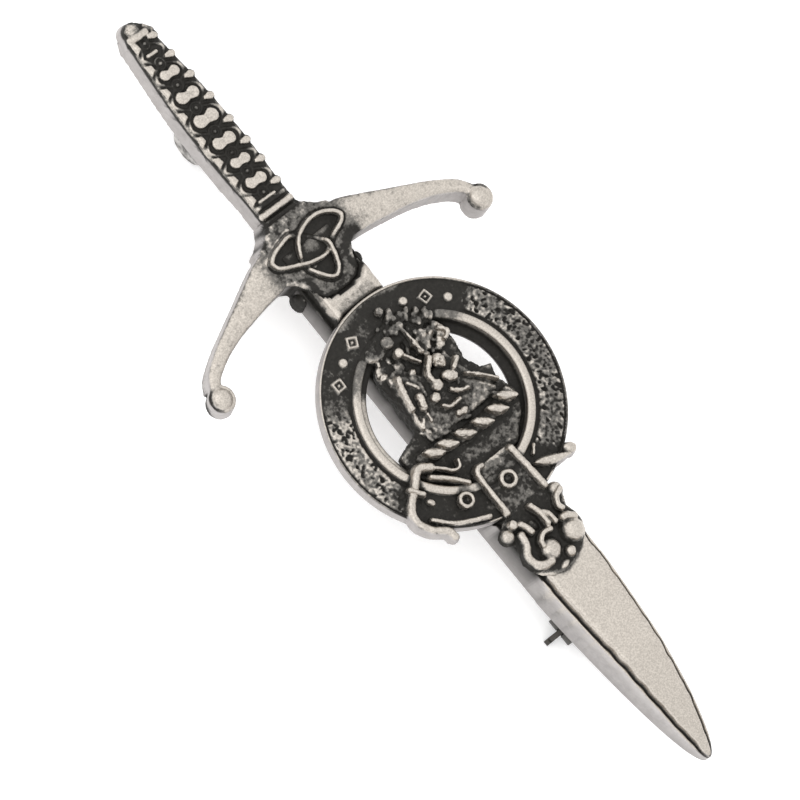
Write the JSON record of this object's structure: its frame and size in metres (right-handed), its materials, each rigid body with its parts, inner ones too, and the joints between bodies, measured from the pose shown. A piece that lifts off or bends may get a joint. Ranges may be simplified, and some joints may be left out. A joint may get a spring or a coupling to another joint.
{
  "type": "kilt pin",
  "caption": "Sword-shaped cast pin with a round belt badge on the blade, a hinged stem and a turning catch behind.",
  "frame": {"origin": "below the middle of the pin's length and width, on the surface that it lies on", "axes": "+Z out of the front, +Y from the point to the pommel, +X to the right seen from the front"},
  "size_m": [0.0396, 0.096, 0.0108],
  "materials": {
    "cast_pewter": "antiqued cast pewter, satin faces with dark recesses",
    "plated_steel": "dull nickel plate",
    "steel_wire": "bright drawn wire"
  },
  "bodies": {
    "casting": {"sword": "cast_pewter", "belt_badge": "cast_pewter", "hinge_base": "plated_steel", "hinge_rivet": "plated_steel", "catch_housing": "plated_steel"},
    "stem": {"pin_stem": "steel_wire"},
    "sleeve": {"catch_sleeve": "plated_steel"}
  },
  "joints": [
    {"name": "stem_hinge", "type": "hinge", "parent": "casting", "child": "stem", "pos_m": [0, 0.0343, 0.00206], "axis": [1, 0, 0], "range_deg": [0, 80]},
    {"name": "catch_turn", "type": "hinge", "parent": "casting", "child": "sleeve", "pos_m": [0, -0.0284, 0.00206], "axis": [0, 1, 0], "range_deg": [0, 46]}
  ]
}
